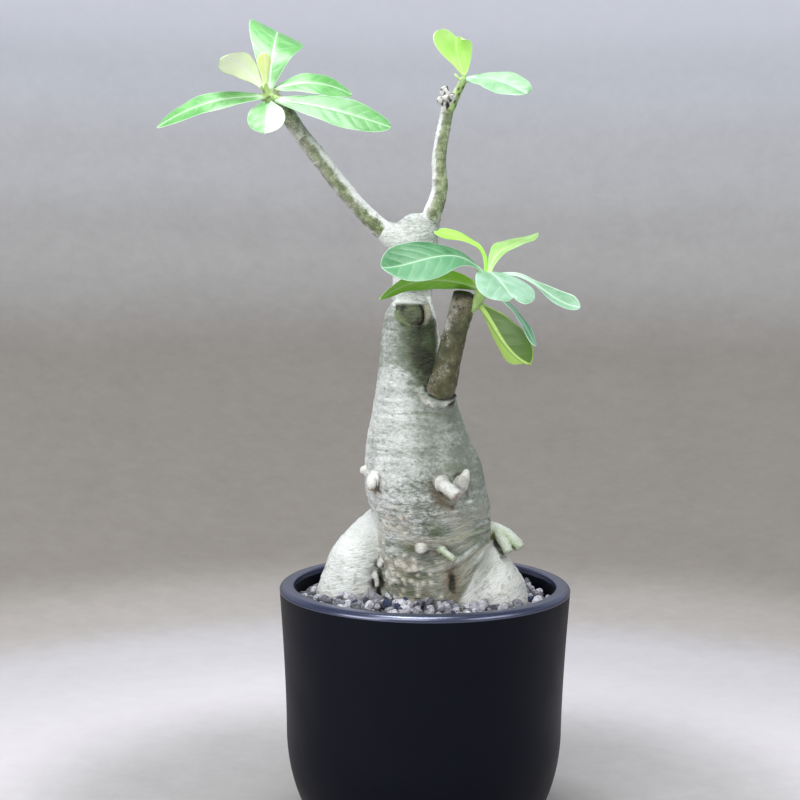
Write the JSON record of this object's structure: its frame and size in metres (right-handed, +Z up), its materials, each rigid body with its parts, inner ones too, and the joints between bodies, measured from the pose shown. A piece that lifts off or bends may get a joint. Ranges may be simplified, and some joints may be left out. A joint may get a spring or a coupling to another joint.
{
  "type": "potted desert rose plant",
  "caption": "Desert rose (adenium) with a swollen grey trunk on thick roots, bare stems ending in small leaf rosettes, in a round-bottomed matt black pot with gravel.",
  "frame": {"origin": "centre of the pot's flat base, on the surface it stands on", "axes": "+Z up along the pot's axis, -Y towards the plant's front, where the short front stem is, +X to the right seen from the front"},
  "size_m": [0.2088, 0.15, 0.4192],
  "materials": {
    "pot_black": "matte",
    "potting_mix": "matte",
    "gravel": "matte",
    "bark": "matte",
    "stem_bark": "matte",
    "leaf_green": "satin",
    "leaf_young": "satin"
  },
  "bodies": {
    "root": {"pot": "pot_black", "potting_mix": "potting_mix", "gravel_top": "gravel", "caudex": "bark", "stem_left": "stem_bark", "stem_right": "stem_bark", "stem_front": "stem_bark", "leaf_left_upright": "leaf_green", "leaf_left_inner": "leaf_green", "leaf_left_long_right": "leaf_green", "leaf_left_long_left": "leaf_green", "leaf_left_front": "leaf_green", "leaf_right_flat": "leaf_green", "leaf_front_broad": "leaf_green", "leaf_front_lower_left": "leaf_green", "leaf_front_near": "leaf_green", "leaf_front_right": "leaf_green", "leaf_front_hanging": "leaf_green", "leaf_front_lower_right": "leaf_green", "leaf_left_pale": "leaf_young", "leaf_left_bud": "leaf_young", "leaf_right_folded": "leaf_young", "leaf_right_bud": "leaf_young", "leaf_front_young_left": "leaf_young", "leaf_front_young_right": "leaf_young"}
  },
  "joints": []
}
